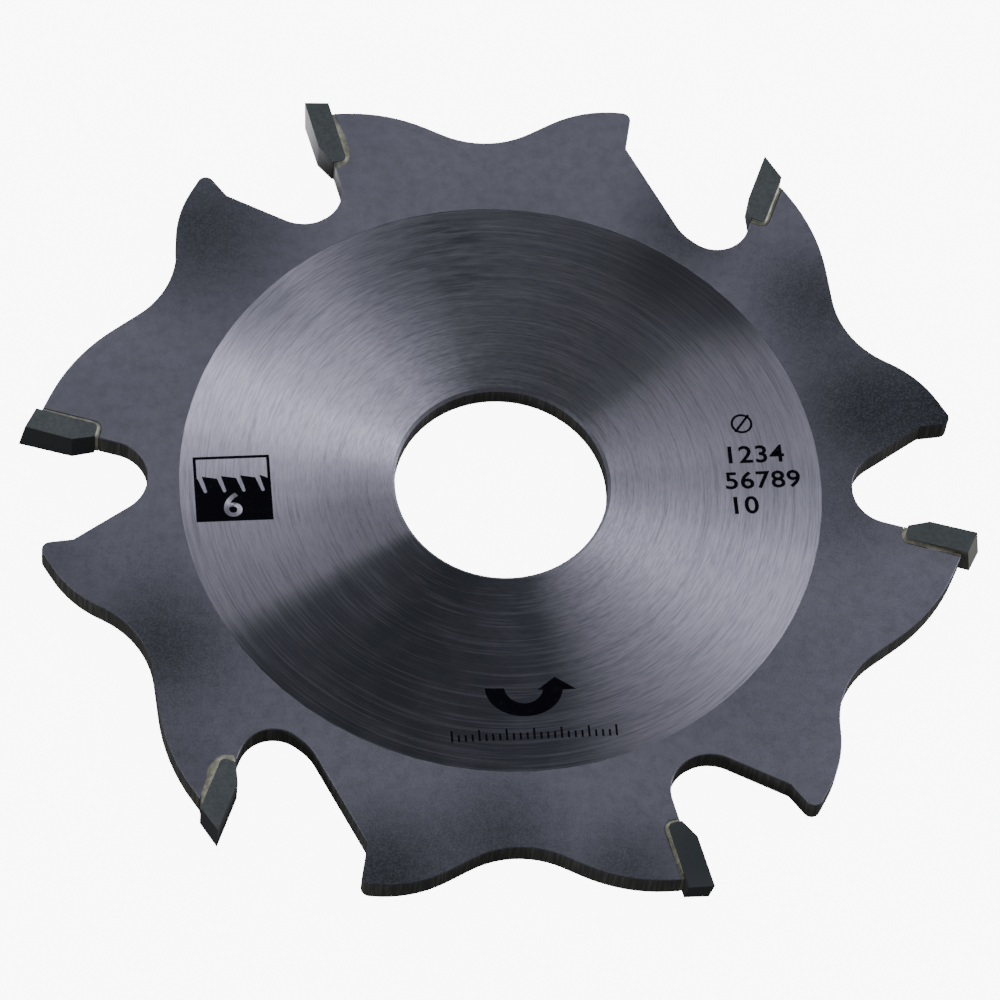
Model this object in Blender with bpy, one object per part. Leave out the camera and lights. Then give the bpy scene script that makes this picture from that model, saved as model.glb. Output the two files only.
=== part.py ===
"""Biscuit joiner blade: a ground steel disc that carries six brazed carbide tips.

The blade lies flat with its arbor axis on +Z and the middle of its thickness at the origin.
Seen from above it turns counter-clockwise, and the cutting corner of the first tip is on +X.

The outline is a polygon with rounded corners. Each tooth has its own corners: "ahead" is measured
from the tooth's place along the cutting circle in the direction of rotation, and "below" is
measured from that circle towards the arbor axis. All lengths are in metres.
"""
import math
from typing import NamedTuple

import bmesh
import bpy
import numpy as np

MM = 0.001


class Corner(NamedTuple):
    """A corner of the outline and the radius that rounds it."""
    ahead: float
    below: float
    radius: float


class ToothForm(NamedTuple):
    """One kind of tooth, with its back behind it and the gullet and limiter nose ahead of it.

    Drop is how far the cutting corner lies inside the cutting circle, and lag is how far it lies
    behind its even place round that circle.
    """
    hook: float
    drop: float
    lag: float
    bevel: float
    back: Corner
    gullet_toe_radius: float
    gullet_heel: Corner
    kink: Corner
    nose: Corner
    nose_back: Corner
    valley: Corner


# Sizes that the blade is sold by
CUTTING_DIAMETER = 100.0 * MM
CUTTING_WIDTH = 3.92 * MM
BORE_DIAMETER = 22.0 * MM

# Plate
PLATE_THICKNESS = 2.8 * MM
EDGE_BREAK = 0.08 * MM
BORE_CHAMFER = 0.3 * MM
HUB_DIAMETER = 66.4 * MM
HUB_GRINDING_DEPTH = 0.05 * MM

# Carbide tips: one blank for all teeth, ground at the end and on both sides
TIP_FACE_LENGTH = 5.7 * MM
TIP_FOOT_LENGTH = 2.1 * MM
TIP_FOOT_SETBACK = 1.0 * MM
TIP_THICKNESS = 2.5 * MM
TIP_CORNER_RADIUS = 0.5 * MM
END_CLEARANCE = math.radians(20.0)
SIDE_CLEARANCE_INWARD = math.radians(1.5)
SIDE_CLEARANCE_BEHIND = math.radians(3.0)

# Seats and braze
BRAZE_THICKNESS = 0.36 * MM
BRAZE_FIT = 0.02 * MM
BRAZE_BELOW_PLATE_FACE = 0.03 * MM
SEAT_WALL_SETBACK = 1.1 * MM
SHOULDER_BELOW_CUT = 2.1 * MM

# Gullets and limiter noses, alike on all teeth
GULLET_DEPTH = 13.5 * MM
KINK_RADIUS = 0.3 * MM
NOSE_RADIUS = 0.9 * MM
VALLEY_DEPTH = 9.7 * MM

# Scoring teeth lean back. The back behind one is fuller where the land starts at a scorer's nose
SCORER_HOOK = math.radians(-8.6)
SCORER_LAG = 0.4 * MM
SCORER_BEVEL = math.radians(10.0)
BACK_AFTER_SCORER = Corner(ahead=-10.5 * MM, below=3.4 * MM, radius=20.5 * MM)
BACK_AFTER_RAKER = Corner(ahead=-8.4 * MM, below=3.0 * MM, radius=18.0 * MM)
SCORER_TOE_RADIUS = 4.1 * MM
SCORER_HEEL = Corner(ahead=8.2 * MM, below=GULLET_DEPTH, radius=4.4 * MM)
SCORER_KINK = Corner(ahead=13.5 * MM, below=5.5 * MM, radius=KINK_RADIUS)
SCORER_NOSE = Corner(ahead=13.4 * MM, below=1.7 * MM, radius=NOSE_RADIUS)
SCORER_NOSE_BACK = Corner(ahead=20.0 * MM, below=3.75 * MM, radius=12.0 * MM)
SCORER_VALLEY = Corner(ahead=27.9 * MM, below=VALLEY_DEPTH, radius=9.6 * MM)

# Rakers lean forward, are a little shorter, and have a wider gullet
RAKER_HOOK = math.radians(15.4)
RAKER_DROP = 0.3 * MM
RAKER_BACK = Corner(ahead=-10.3 * MM, below=3.4 * MM, radius=21.0 * MM)
RAKER_TOE_RADIUS = 3.6 * MM
RAKER_HEEL = Corner(ahead=2.5 * MM, below=GULLET_DEPTH, radius=5.3 * MM)
RAKER_KINK = Corner(ahead=14.6 * MM, below=6.4 * MM, radius=KINK_RADIUS)
RAKER_NOSE = Corner(ahead=15.4 * MM, below=1.9 * MM, radius=NOSE_RADIUS)
RAKER_NOSE_BACK = Corner(ahead=20.8 * MM, below=2.8 * MM, radius=13.0 * MM)
RAKER_VALLEY = Corner(ahead=32.1 * MM, below=VALLEY_DEPTH, radius=10.1 * MM)

GROUP_REPEATS = 2
CHORD_TOLERANCE = 0.012 * MM

# What follows from the sizes
CUT_RADIUS = CUTTING_DIAMETER / 2
HALF_PLATE = PLATE_THICKNESS / 2
HALF_WIDTH = CUTTING_WIDTH / 2
TIP_LENGTH = TIP_FACE_LENGTH + TIP_FOOT_LENGTH
BRAZE_GAP = BRAZE_THICKNESS + 2 * BRAZE_FIT


def scorer(bevel, back):
    """A scoring tooth: its end is bevelled so that one side of it reaches further out."""
    return ToothForm(SCORER_HOOK, 0.0, SCORER_LAG, bevel, back, SCORER_TOE_RADIUS,
                     SCORER_HEEL, SCORER_KINK, SCORER_NOSE, SCORER_NOSE_BACK, SCORER_VALLEY)


def raker():
    """A raker: a square end that clears the floor of the slot."""
    return ToothForm(RAKER_HOOK, RAKER_DROP, 0.0, 0.0, RAKER_BACK, RAKER_TOE_RADIUS,
                     RAKER_HEEL, RAKER_KINK, RAKER_NOSE, RAKER_NOSE_BACK, RAKER_VALLEY)


TOOTH_GROUP = (scorer(-SCORER_BEVEL, BACK_AFTER_SCORER), raker(), scorer(SCORER_BEVEL, BACK_AFTER_RAKER))
TEETH = TOOTH_GROUP * GROUP_REPEATS
PITCH = 2 * math.pi / len(TEETH)


def turned(points, angle):
    """Plan points turned counter-clockwise about the arbor axis."""
    cos, sin = math.cos(angle), math.sin(angle)
    return np.asarray(points, dtype=float) @ np.array([[cos, sin], [-sin, cos]])


def tip_point(form, inward, behind):
    """Plan point of a tooth near +X: inward along its rake face and behind that face."""
    along = np.array([-math.cos(form.hook), -math.sin(form.hook)])
    back = np.array([math.sin(form.hook), -math.cos(form.hook)])
    corner = np.array([CUT_RADIUS - form.drop, 0.0])
    return turned(corner + inward * along + behind * back, -form.lag / CUT_RADIUS)


def inward_to(form, behind, below):
    """How far inward a line parallel to the rake face, and behind it, reaches a depth."""
    start = tip_point(form, 0.0, behind)
    along = tip_point(form, 1.0, behind) - start
    middle = float(start @ along)
    return -middle - math.sqrt(middle**2 - float(start @ start) + (CUT_RADIUS - below) ** 2)


def shoulder_inward(form):
    """How far inward the plate starts behind the tip and its braze."""
    return inward_to(form, TIP_THICKNESS + BRAZE_GAP, SHOULDER_BELOW_CUT)


def rounded(corners):
    """Closed outline through (point, radius) corners, each one replaced by an arc.

    An arc of radius r at a turn of angle a starts r tan(a / 2) before its corner. Where two arcs
    crowd the edge between them, both are made smaller until they meet.
    """
    points = np.array([point for point, radius in corners])
    radii = np.array([radius for point, radius in corners])
    edges = np.roll(points, -1, axis=0) - points
    lengths = np.hypot(*edges.T)
    headings = np.arctan2(edges[:, 1], edges[:, 0])
    turns = (headings - np.roll(headings, 1) + math.pi) % (2 * math.pi) - math.pi
    cuts = radii * np.abs(np.tan(turns / 2))
    room = np.minimum(1.0, lengths / np.maximum(cuts + np.roll(cuts, -1), lengths * 1e-6))
    share = np.minimum(room, np.roll(room, 1))
    outline = []
    for point, radius, cut, turn, heading in zip(points, radii * share, cuts * share, turns, headings):
        if radius == 0.0:
            outline.append(point[None, :])
            continue
        steps = 2 + math.ceil(abs(turn) / 2 / math.acos(1 - CHORD_TOLERANCE / radius))
        facing = heading - turn + np.linspace(0.0, turn, steps)
        start = point - cut * np.array([math.cos(heading - turn), math.sin(heading - turn)])
        side = math.copysign(radius, turn)
        centre = start + side * np.array([-math.sin(facing[0]), math.cos(facing[0])])
        outline.append(centre + side * np.column_stack([np.sin(facing), -np.cos(facing)]))
    return np.concatenate(outline)


def placed(corner):
    """A corner of the tooth at +X as a plan point and its radius."""
    angle = corner.ahead / CUT_RADIUS
    return (CUT_RADIUS - corner.below) * np.array([math.cos(angle), math.sin(angle)]), corner.radius


def seat_and_toe(form):
    """The tip's seat, and the wall under the tip down to the toe of the gullet."""
    wall = TIP_THICKNESS + BRAZE_GAP
    floor = TIP_LENGTH + BRAZE_GAP
    toe = inward_to(form, SEAT_WALL_SETBACK, GULLET_DEPTH)
    return [
        (tip_point(form, shoulder_inward(form), wall), 0.0),
        (tip_point(form, floor, wall), TIP_CORNER_RADIUS + BRAZE_GAP),
        (tip_point(form, floor, SEAT_WALL_SETBACK), 0.0),
        (tip_point(form, toe, SEAT_WALL_SETBACK), form.gullet_toe_radius),
    ]


def plate_outline():
    """Outer outline of the plate, counter-clockwise, tooth by tooth."""
    corners = []
    for number, form in enumerate(TEETH):
        tooth = [placed(form.back), *seat_and_toe(form), placed(form.gullet_heel), placed(form.kink),
                 placed(form.nose), placed(form.nose_back), placed(form.valley)]
        corners += [(turned(point, number * PITCH), radius) for point, radius in tooth]
    return rounded(corners)


def mesh_object(name, vertices, faces):
    """A linked object from plain vertices and faces."""
    mesh = bpy.data.meshes.new(name)
    mesh.from_pydata([tuple(vertex) for vertex in vertices], [], faces)
    mesh.update()
    item = bpy.data.objects.new(name, mesh)
    bpy.context.collection.objects.link(item)
    return item


def prism(name, lower, upper):
    """A closed solid between two counter-clockwise rings of as many points."""
    count = len(lower)
    following = [(index + 1) % count for index in range(count)]
    faces = [tuple(range(count - 1, -1, -1)), tuple(range(count, 2 * count))]
    faces += [(index, after, count + after, count + index) for index, after in enumerate(following)]
    return mesh_object(name, np.concatenate([lower, upper]), faces)


def at_height(points, height):
    """Plan points lifted to a height, which may differ from point to point."""
    points = np.asarray(points)
    return np.column_stack([points, np.broadcast_to(height, len(points))])


def material(name, colour, roughness, metallic):
    """A Principled material of one colour."""
    item = bpy.data.materials.new(name)
    item.use_nodes = True
    shader = item.node_tree.nodes["Principled BSDF"]
    shader.inputs["Base Color"].default_value = (*colour, 1.0)
    shader.inputs["Roughness"].default_value = roughness
    shader.inputs["Metallic"].default_value = metallic
    return item


def shade(item, finish):
    """Give an object its material, smooth on its round stretches and sharp at its edges."""
    item.data.materials.append(finish)
    item.data.shade_smooth()
    item.data.set_sharp_from_angle(angle=math.radians(30.0))


def arbor_cutter():
    """Turned cutter for the bore, its two chamfers and the ground hub on both faces."""
    bore = BORE_DIAMETER / 2
    hub_face = HALF_PLATE - HUB_GRINDING_DEPTH
    clear = 2 * PLATE_THICKNESS
    side = [(clear, HUB_DIAMETER / 2), (hub_face, HUB_DIAMETER / 2),
            (hub_face, bore + BORE_CHAMFER), (hub_face - BORE_CHAMFER, bore)]
    profile = side + [(-height, radius) for height, radius in reversed(side)]
    steps = math.ceil(math.pi / math.acos(1 - CHORD_TOLERANCE / bore))
    shape = bmesh.new()
    rim = [shape.verts.new((radius, 0.0, height)) for height, radius in profile]
    ends = [shape.verts.new((0.0, 0.0, height)) for height in (-clear, clear)]
    line = rim + ends
    edges = [shape.edges.new(pair) for pair in zip(line, line[1:] + line[:1])]
    bmesh.ops.spin(shape, geom=line + edges, cent=(0, 0, 0), axis=(0, 0, 1),
                   angle=2 * math.pi, steps=steps, use_merge=True)
    bmesh.ops.remove_doubles(shape, verts=shape.verts, dist=0.001 * MM)
    bmesh.ops.recalc_face_normals(shape, faces=shape.faces)
    mesh = bpy.data.meshes.new("arbor_cutter")
    shape.to_mesh(mesh)
    shape.free()
    cutter = bpy.data.objects.new("arbor_cutter", mesh)
    bpy.context.collection.objects.link(cutter)
    cutter.hide_render = True
    cutter.display_type = "WIRE"
    return cutter


def blade_body(steel):
    """The plate: its outline extruded, its edges broken, and its middle turned out."""
    outline = plate_outline()
    body = prism("blade_body", at_height(outline, -HALF_PLATE), at_height(outline, HALF_PLATE))
    edges = body.modifiers.new("edge break", "BEVEL")
    edges.width = EDGE_BREAK
    edges.segments = 1
    edges.limit_method = "ANGLE"
    edges.angle_limit = math.radians(80.0)
    arbor = body.modifiers.new("arbor", "BOOLEAN")
    arbor.operation = "DIFFERENCE"
    arbor.solver = "EXACT"
    arbor.object = arbor_cutter()
    shade(body, steel)
    return body


def end_setback(bevel, heights):
    """How far a bevelled end is ground back at each height, nothing at its longer side."""
    return HALF_WIDTH * abs(math.tan(bevel)) - np.asarray(heights) * math.tan(bevel)


def tip_side(form, side):
    """One side face of a tip, counter-clockwise. The side is +1 for the top and -1 below."""
    end_lean = TIP_THICKNESS * math.tan(END_CLEARANCE + form.hook)
    inner = tip_corner_arc(0.0)
    plan = [(0.0, 0.0), (end_lean, TIP_THICKNESS), *inner,
            (TIP_LENGTH, TIP_FOOT_SETBACK), (TIP_FACE_LENGTH, 0.0)]
    inward, behind = np.array(plan).T
    height = side * (HALF_WIDTH - inward * math.tan(SIDE_CLEARANCE_INWARD)
                     - behind * math.tan(SIDE_CLEARANCE_BEHIND))
    ground = inward.copy()
    ground[:2] += end_setback(form.bevel, height[:2])
    points = [tip_point(form, along, back) for along, back in zip(ground, behind)]
    return at_height(points, height)[::-1]


def tip_corner_arc(offset):
    """Inner back corner of a tip, or a curve an offset outside it, as (inward, behind) pairs."""
    centre = np.array([TIP_LENGTH - TIP_CORNER_RADIUS, TIP_THICKNESS - TIP_CORNER_RADIUS])
    reach = TIP_CORNER_RADIUS + offset
    steps = 2 + math.ceil(math.pi / 4 / math.acos(1 - CHORD_TOLERANCE / reach))
    angles = np.linspace(math.pi / 2, 0.0, steps)
    return [tuple(centre + reach * np.array([math.cos(a), math.sin(a)])) for a in angles]


def carbide_tip(number, form, carbide):
    """One tip, turned to its place round the arbor axis."""
    upper = tip_side(form, 1)
    lower = tip_side(form, -1)
    tip = prism(f"carbide_tip_{number + 1}", lower, upper)
    spin_to(tip, number)
    shade(tip, carbide)
    return tip


def braze_layer(number, form, braze):
    """The braze between a tip and its seat, in a band of even thickness round the corner."""
    near = BRAZE_FIT
    far = BRAZE_FIT + BRAZE_THICKNESS
    start = shoulder_inward(form)
    inside = [(start, TIP_THICKNESS + near), *tip_corner_arc(near),
              (TIP_LENGTH + near, SEAT_WALL_SETBACK)]
    outside = [(start, TIP_THICKNESS + far), *tip_corner_arc(far),
               (TIP_LENGTH + far, SEAT_WALL_SETBACK)]
    ring = [tip_point(form, along, back) for along, back in inside + outside[::-1]]
    height = HALF_PLATE - BRAZE_BELOW_PLATE_FACE
    layer = prism(f"braze_layer_{number + 1}", at_height(ring, -height), at_height(ring, height))
    spin_to(layer, number)
    shade(layer, braze)
    return layer


def spin_to(item, number):
    """Turn an object about the arbor axis to the place of its tooth."""
    item.rotation_euler = (0.0, 0.0, number * PITCH)


def main():
    for item in list(bpy.data.objects):
        bpy.data.objects.remove(item, do_unlink=True)
    steel = material("blade_steel", (0.085, 0.09, 0.115), 0.45, 0.9)
    carbide = material("carbide", (0.055, 0.062, 0.066), 0.38, 0.8)
    braze = material("braze", (0.24, 0.23, 0.16), 0.5, 0.7)
    blade_body(steel)
    for number, form in enumerate(TEETH):
        carbide_tip(number, form, carbide)
        braze_layer(number, form, braze)


main()
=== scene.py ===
# %% [markdown]
# # A biscuit joiner blade
# The real object is one flat disc of ground steel with six brazed carbide tips. The solids come
# from the CAD frame. This script adds what a solid model leaves out: the fine rings of the ground
# hub, the beads of braze round each tip, the printed marks, and a finish for every surface.

# %% Load the frame
import math

import bmesh
import bpy
import numpy as np
from mathutils import Matrix, Vector


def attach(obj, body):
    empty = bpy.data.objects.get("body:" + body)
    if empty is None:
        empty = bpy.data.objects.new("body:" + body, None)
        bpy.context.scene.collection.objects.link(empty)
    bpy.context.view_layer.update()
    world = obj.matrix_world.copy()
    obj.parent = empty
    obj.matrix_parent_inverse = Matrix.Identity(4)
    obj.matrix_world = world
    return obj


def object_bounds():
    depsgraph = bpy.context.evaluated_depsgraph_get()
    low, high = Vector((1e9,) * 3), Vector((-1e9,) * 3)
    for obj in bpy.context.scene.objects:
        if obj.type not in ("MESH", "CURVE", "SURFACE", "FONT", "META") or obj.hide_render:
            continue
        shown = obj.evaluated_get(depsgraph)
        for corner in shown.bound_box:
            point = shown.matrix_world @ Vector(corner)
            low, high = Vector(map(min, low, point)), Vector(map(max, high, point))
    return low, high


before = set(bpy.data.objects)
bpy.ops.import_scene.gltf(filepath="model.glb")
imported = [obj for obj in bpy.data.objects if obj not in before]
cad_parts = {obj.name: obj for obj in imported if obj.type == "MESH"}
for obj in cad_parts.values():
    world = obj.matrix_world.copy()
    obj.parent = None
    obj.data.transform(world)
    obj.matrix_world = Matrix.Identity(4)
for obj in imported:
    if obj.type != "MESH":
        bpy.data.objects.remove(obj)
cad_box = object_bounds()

MM = 0.001


def box_in_mm(box):
    """The two corners of a box in millimetres, rounded for printing."""
    return [[round(value / MM, 2) for value in corner] for corner in box]


print("CAD box in mm:", box_in_mm(cad_box))

# %% [markdown]
# ## The camera
# A product shot of a flat disc is taken from well above with a long lens, so that the circle turns
# into a calm ellipse. One could aim a camera with a Track To constraint. Here its three axes are
# worked out from three plain angles instead, because then each angle can be read and corrected.
# The offset says where the middle of the blade lies for the camera: so far to its right, so far
# down and so far ahead.

# %% Camera
CAMERA_ELEVATION = math.radians(60.494)
CAMERA_ROLL = math.radians(8.694)
CAMERA_TURN = math.radians(3.045)
CAMERA_OFFSET = np.array([0.080, -1.148, 549.94]) * MM
CAMERA_LENS = 191.84


def camera_axes(elevation, roll, turn):
    """Right, down and forward axes of a camera, one to a row.

    Forward is (0, cos e, -sin e) for an elevation e. Down is forward x right. Both right and down
    are then rolled about forward, and all three are turned about the upright axis.
    """
    forward = np.array([0.0, math.cos(elevation), -math.sin(elevation)])
    right = np.array([1.0, 0.0, 0.0])
    down = np.cross(forward, right)
    rolled_right = math.cos(roll) * right - math.sin(roll) * down
    rolled_down = math.sin(roll) * right + math.cos(roll) * down
    cosine, sine = math.cos(turn), math.sin(turn)
    upright = np.array([[cosine, -sine, 0.0], [sine, cosine, 0.0], [0.0, 0.0, 1.0]])
    return np.array([rolled_right, rolled_down, forward]) @ upright


axes = camera_axes(CAMERA_ELEVATION, CAMERA_ROLL, CAMERA_TURN)
camera_place = -axes.T @ CAMERA_OFFSET
pose = Matrix.Identity(4)
for column, axis in enumerate((axes[0], -axes[1], -axes[2])):
    pose.col[column] = (*axis, 0.0)
pose.col[3] = (*camera_place, 1.0)
camera = bpy.data.objects.new("camera", bpy.data.cameras.new("camera"))
camera.data.lens = CAMERA_LENS
camera.data.clip_start = 0.01
bpy.context.collection.objects.link(camera)
camera.matrix_world = pose
bpy.context.scene.camera = camera
print("camera at (mm):", np.round(camera_place / MM, 1))

# %% [markdown]
# ## The studio
# The blade lies on a white table, resting on the lower corners of its tips, which are wider than
# the plate. Metal shows what it mirrors, so a bright room would wash out its tones. One could
# build a dark tent round the blade. Here a Light Path node does it more simply: table and backdrop
# are bright where the camera sees them, and dim as light and in reflections.

# %% Table and backdrop
TABLE_SIZE = 3.0
BACKDROP_LIGHT = 9.0
SURROUND_LIGHT = 0.2


def plane_at(name, size, height):
    """A square of one face, size wide, at a height: its corners lie half a size from the middle."""
    half = size / 2
    corners = [(-half, -half, height), (half, -half, height), (half, half, height), (-half, half, height)]
    mesh = bpy.data.meshes.new(name)
    mesh.from_pydata(corners, [], [(0, 1, 2, 3)])
    plane = bpy.data.objects.new(name, mesh)
    bpy.context.collection.objects.link(plane)
    return plane


table = plane_at("table", TABLE_SIZE, cad_box[0][2])

surround = bpy.data.worlds.new("surround")
surround.use_nodes = True
background = surround.node_tree.nodes["Background"]
background.inputs["Color"].default_value = (1.0, 1.0, 1.0, 1.0)
seen = surround.node_tree.nodes.new("ShaderNodeLightPath").outputs["Is Camera Ray"]
strength = surround.node_tree.nodes.new("ShaderNodeMapRange")
strength.inputs["To Min"].default_value = SURROUND_LIGHT
strength.inputs["To Max"].default_value = BACKDROP_LIGHT
surround.node_tree.links.new(seen, strength.inputs["Value"])
surround.node_tree.links.new(strength.outputs["Result"], background.inputs["Strength"])
bpy.context.scene.world = surround
print("table at (mm):", round(cad_box[0][2] / MM, 3))

# %% [markdown]
# The light comes from six soft panels in a circle round the blade. Three stand above it and give
# the flat faces their sheen. Three stand just above the table, because light that grazes the faces
# still falls full on the cut walls and on the sides of the tips.

# %% Soft panels
PANEL_DISTANCE = 0.7
FACE_LIGHT = (0.97, 0.96, 1.0)
EDGE_LIGHT = (0.97, 0.97, 1.0)
PANELS = (
    ("panel_right", 24, 42, (0.3, 0.3), 1.7, FACE_LIGHT),
    ("panel_left", 131, 32, (0.22, 0.3), 1.15, FACE_LIGHT),
    ("low_right", 25, 7, (0.3, 0.08), 3.0, EDGE_LIGHT),
    ("low_left", 126, 7, (0.3, 0.08), 1.2, EDGE_LIGHT),
    ("low_front", 203, 6, (0.3, 0.08), 1.3, EDGE_LIGHT),
    ("panel_back", 103, 31, (0.3, 0.2), 0.3, FACE_LIGHT),
)


def soft_panel(name, azimuth, elevation, size, power, colour):
    """A rectangular area light of a size (width, height) that looks at the blade.

    It stands at PANEL_DISTANCE in the direction (cos a cos e, sin a cos e, sin e), for an azimuth
    a and an elevation e in degrees.
    """
    light = bpy.data.lights.new(name, "AREA")
    light.shape = "RECTANGLE"
    light.size, light.size_y = size
    light.energy = power
    light.color = colour
    panel = bpy.data.objects.new(name, light)
    a, e = math.radians(azimuth), math.radians(elevation)
    direction = Vector((math.cos(a) * math.cos(e), math.sin(a) * math.cos(e), math.sin(e)))
    panel.location = direction * PANEL_DISTANCE
    panel.rotation_mode = "QUATERNION"
    panel.rotation_quaternion = direction.to_track_quat("Z", "Y")
    bpy.context.collection.objects.link(panel)
    return panel


panels = [soft_panel(*panel) for panel in PANELS]
print("soft panels:", len(panels), "with watts in all:", round(sum(panel.data.energy for panel in panels), 2))

# %% [markdown]
# ## Finishes
# Every finish is a Principled shader with a few nodes in front of it. Writing node after node gets
# long, so one small helper collects the moves that all finishes here need: sums, vectors, noises,
# smooth ranges and blends.

# %% Node helper


def shade_of(red, green, blue):
    """Linear colour of a screen colour from 0 to 255: (c / 255) to the power 2.2, near enough."""
    return tuple((value / 255.0) ** 2.2 for value in (red, green, blue)) + (1.0,)


class Finish:
    """A new material, and short ways to add nodes to it. Most methods return an output socket."""

    def __init__(self, name, metallic, roughness):
        self.material = bpy.data.materials.new(name)
        self.material.use_nodes = True
        self.nodes = self.material.node_tree.nodes
        self.links = self.material.node_tree.links
        self.shader = self.nodes["Principled BSDF"]
        self.shader.inputs["Metallic"].default_value = metallic
        self.shader.inputs["Roughness"].default_value = roughness
        self.place = self.nodes.new("ShaderNodeTexCoord").outputs["Object"]

    def set(self, socket, value):
        """Put a number, a colour or another node's output into a socket."""
        if isinstance(value, bpy.types.NodeSocket):
            self.links.new(value, socket)
        else:
            socket.default_value = value

    def math(self, operation, first, second=0.0):
        """One sum: an operation on two numbers or outputs."""
        node = self.nodes.new("ShaderNodeMath")
        node.operation = operation
        self.set(node.inputs[0], first)
        self.set(node.inputs[1], second)
        return node.outputs[0]

    def parts(self, vector):
        """The x, y and z of a vector."""
        node = self.nodes.new("ShaderNodeSeparateXYZ")
        self.links.new(vector, node.inputs[0])
        return node.outputs

    def vector(self, x, y, z):
        """A vector from its x, y and z."""
        node = self.nodes.new("ShaderNodeCombineXYZ")
        for socket, value in zip(node.inputs, (x, y, z)):
            self.set(socket, value)
        return node.outputs[0]

    def noise(self, vector, scale, detail=2.0, roughness=0.5):
        """Cloudy values about 0.5, with scale cells to a unit of the vector."""
        node = self.nodes.new("ShaderNodeTexNoise")
        self.links.new(vector, node.inputs["Vector"])
        node.inputs["Scale"].default_value = scale
        node.inputs["Detail"].default_value = detail
        node.inputs["Roughness"].default_value = roughness
        return node.outputs[0]

    def span(self, value, low, high, to_low=0.0, to_high=1.0):
        """Map a value smoothly from the range low to high to another range, held at its ends."""
        node = self.nodes.new("ShaderNodeMapRange")
        node.interpolation_type = "SMOOTHSTEP"
        self.set(node.inputs["Value"], value)
        ends = {"From Min": low, "From Max": high, "To Min": to_low, "To Max": to_high}
        for name, number in ends.items():
            node.inputs[name].default_value = number
        return node.outputs["Result"]

    def blend(self, share, first, second):
        """The first colour with a share of the second in it."""
        node = self.nodes.new("ShaderNodeMix")
        node.data_type = "RGBA"
        self.set(node.inputs["Factor"], share)
        self.set(node.inputs["A"], first)
        self.set(node.inputs["B"], second)
        return node.outputs["Result"]

    def colour(self, value):
        """Set the colour of the surface."""
        self.set(self.shader.inputs["Base Color"], value)

    def roughness(self, value):
        """Set how far the surface spreads what it mirrors."""
        self.set(self.shader.inputs["Roughness"], value)

    def metallic(self, value):
        """Set the share of bare metal in the surface."""
        self.set(self.shader.inputs["Metallic"], value)

    def relief(self, height, depth, strength):
        """Bump of a depth in metres from a height between 0 and 1."""
        node = self.nodes.new("ShaderNodeBump")
        node.inputs["Strength"].default_value = strength
        node.inputs["Distance"].default_value = depth
        self.links.new(height, node.inputs["Height"])
        self.links.new(node.outputs["Normal"], self.shader.inputs["Normal"])


print("white 255 as linear:", shade_of(255, 255, 255)[0])

# %% [markdown]
# A round blade asks for a few moves of its own: to know how far a point lies from the axis and in
# which direction, to know whether the surface lies level there, and to lay soft round patches and
# sectors of another tone on it. All of them read the object's own coordinates, so a pattern stays
# on the blade.

# %% Moves on a round blade


class BladeFinish(Finish):
    """A finish for a piece of the blade, with moves that know the arbor axis."""

    def polar(self):
        """Distance r from the arbor axis, the root of x x + y y, and the cosine x / r and sine y / r."""
        x, y = self.parts(self.place)[:2]
        square = self.math("ADD", self.math("MULTIPLY", x, x), self.math("MULTIPLY", y, y))
        radius = self.math("SQRT", square)
        return radius, self.math("DIVIDE", x, radius), self.math("DIVIDE", y, radius)

    def levelness(self):
        """1 where the surface lies level and 0 where it stands upright: the size of its normal's z."""
        normal = self.nodes.new("ShaderNodeTexCoord").outputs["Normal"]
        return self.math("ABSOLUTE", self.parts(normal)[2])

    def nearness(self, cosine, sine, direction):
        """Cosine of the angle from a direction d in radians: cosine times cos d + sine times sin d."""
        return self.math("ADD", self.math("MULTIPLY", cosine, math.cos(direction)),
                         self.math("MULTIPLY", sine, math.sin(direction)))

    def ring_noise(self, along, across, detail):
        """Noise in dashes along rings: along cells round a radian, across cells to a millimetre."""
        radius, cosine, sine = self.polar()
        spot = self.vector(self.math("MULTIPLY", cosine, along), self.math("MULTIPLY", sine, along),
                           self.math("MULTIPLY", radius, across / MM))
        return self.noise(spot, 1.0, detail)

    def patch(self, across, up, reach):
        """1 at a point of the plan given in millimetres, falling smoothly to 0 at a reach."""
        x, y = self.parts(self.place)[:2]
        spot = self.vector(self.math("SUBTRACT", x, across * MM), self.math("SUBTRACT", y, up * MM), 0.0)
        length = self.nodes.new("ShaderNodeVectorMath")
        length.operation = "LENGTH"
        self.links.new(spot, length.inputs[0])
        return self.span(length.outputs["Value"], reach * MM, 0.0)

    def sector(self, angle, reach):
        """1 in a direction from the axis, given in degrees, falling smoothly to 0 at a reach."""
        cosine, sine = self.polar()[1:]
        return self.span(self.nearness(cosine, sine, math.radians(angle)), math.cos(math.radians(reach)), 1.0)

    def with_patches(self, colour, stains, tone):
        """A colour with soft round patches of a tone in it, each (across, up, reach, share)."""
        for across, up, reach, share in stains:
            colour = self.blend(self.math("MULTIPLY", self.patch(across, up, reach), share), colour, tone)
        return colour

    def swept(self, colour, sectors, tone):
        """A colour with sectors of a tone in it, each (angle, reach, share)."""
        for angle, reach, share in sectors:
            colour = self.blend(self.math("MULTIPLY", self.sector(angle, reach), share), colour, tone)
        return colour


print("moves on a round blade:", [name for name in vars(BladeFinish) if not name.startswith("_")])
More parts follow.
